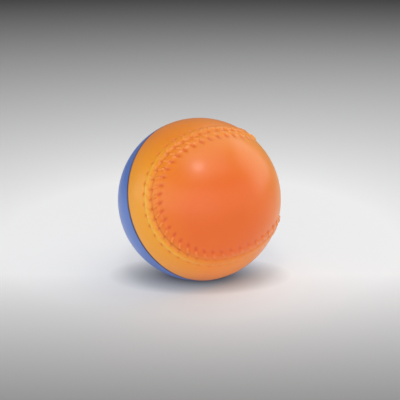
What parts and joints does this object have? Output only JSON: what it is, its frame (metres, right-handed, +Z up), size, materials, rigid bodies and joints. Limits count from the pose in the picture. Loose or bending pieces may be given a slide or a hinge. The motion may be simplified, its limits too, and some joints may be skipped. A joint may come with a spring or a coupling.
{
  "type": "baseball",
  "caption": "Soft two-colour foam ball moulded like a baseball, with a raised stitched seam and a parting line between its orange and blue covers.",
  "frame": {"origin": "the ball's centre", "axes": "+Z up as the ball lies in the picture, -Y the front that the orange cover faces, +X to its right; the orange pole points 22.9 degrees up from -Y"},
  "size_m": [0.0634, 0.0634, 0.0634],
  "materials": {
    "orange_skin": "satin",
    "blue_skin": "satin",
    "foam": "matte",
    "bond": "matte"
  },
  "bodies": {
    "root": {"foam_core": "foam", "orange_cover": "orange_skin", "blue_cover": "blue_skin", "parting_bond": "bond", "orange_lobe_stitches": "orange_skin", "orange_wrap_stitches": "orange_skin", "blue_lobe_stitches": "blue_skin", "blue_wrap_stitches": "blue_skin"}
  },
  "joints": []
}
